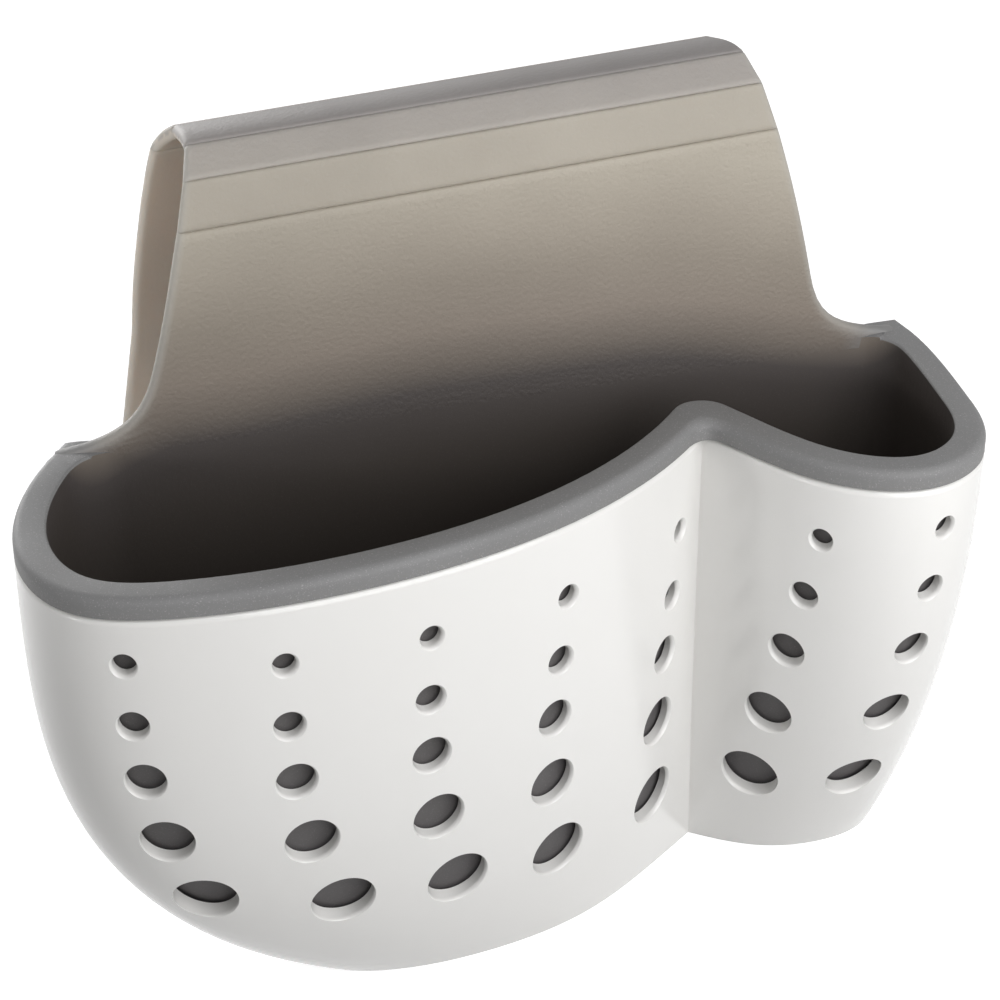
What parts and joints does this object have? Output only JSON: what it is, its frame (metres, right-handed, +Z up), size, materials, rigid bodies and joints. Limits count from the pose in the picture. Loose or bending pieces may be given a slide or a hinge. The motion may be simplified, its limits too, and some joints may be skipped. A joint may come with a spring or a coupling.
{
  "type": "sponge holder",
  "caption": "Two-lobed perforated sponge holder with a drop-in rubber liner, whose hinged saddle folds over a sink divider behind the cup.",
  "frame": {"origin": "on the foot that the holder stands on, at the middle of the cup's width and at half the foot's depth", "axes": "+X along the flat back towards the small lobe, +Y towards the back and the saddle's flap, +Z up"},
  "size_m": [0.1833, 0.088, 0.1647],
  "materials": {
    "white_shell": "glossy moulded plastic",
    "grey_rubber": "matte moulded rubber with a fine texture"
  },
  "bodies": {
    "shell": {"outer_shell": "white_shell"},
    "liner": {"liner_cup": "grey_rubber", "rim_bead": "grey_rubber", "front_panel": "grey_rubber"},
    "lower_strip": {"front_lower_strip": "grey_rubber"},
    "upper_strip": {"front_upper_strip": "grey_rubber"},
    "crown": {"crown_strip": "grey_rubber"},
    "back_strip": {"rear_strip": "grey_rubber"},
    "flap": {"rear_flap": "grey_rubber"}
  },
  "joints": [
    {"name": "liner_lift", "type": "slide", "parent": "shell", "child": "liner", "axis": [0, 0, 1], "range_m": [0, 0.11]},
    {"name": "lower_groove", "type": "hinge", "parent": "liner", "child": "lower_strip", "pos_m": [0.0035, 0.0155, 0.1493], "axis": [1, 0, 0], "range_deg": [-2.5, 12], "stiffness_Nm_per_rad": 0.4, "springref_deg": 1.57},
    {"name": "upper_groove", "type": "hinge", "parent": "lower_strip", "child": "upper_strip", "pos_m": [0.0035, 0.01716, 0.15784], "axis": [1, 0, 0], "range_deg": [-2.5, 12], "stiffness_Nm_per_rad": 0.4, "springref_deg": 1.46},
    {"name": "crown_front_groove", "type": "hinge", "parent": "upper_strip", "child": "crown", "pos_m": [0.0035, 0.02162, 0.16215], "axis": [1, 0, 0], "range_deg": [-2.5, 12], "stiffness_Nm_per_rad": 0.4, "springref_deg": 1.19},
    {"name": "crown_back_groove", "type": "hinge", "parent": "crown", "child": "back_strip", "pos_m": [0.0035, 0.03302, 0.16215], "axis": [1, 0, 0], "range_deg": [-2.5, 12], "stiffness_Nm_per_rad": 0.4, "springref_deg": 0.52},
    {"name": "flap_hinge", "type": "hinge", "parent": "back_strip", "child": "flap", "pos_m": [0.0035, 0.03748, 0.15784], "axis": [1, 0, 0], "range_deg": [-2.5, 12], "stiffness_Nm_per_rad": 0.4, "springref_deg": 0.28}
  ]
}
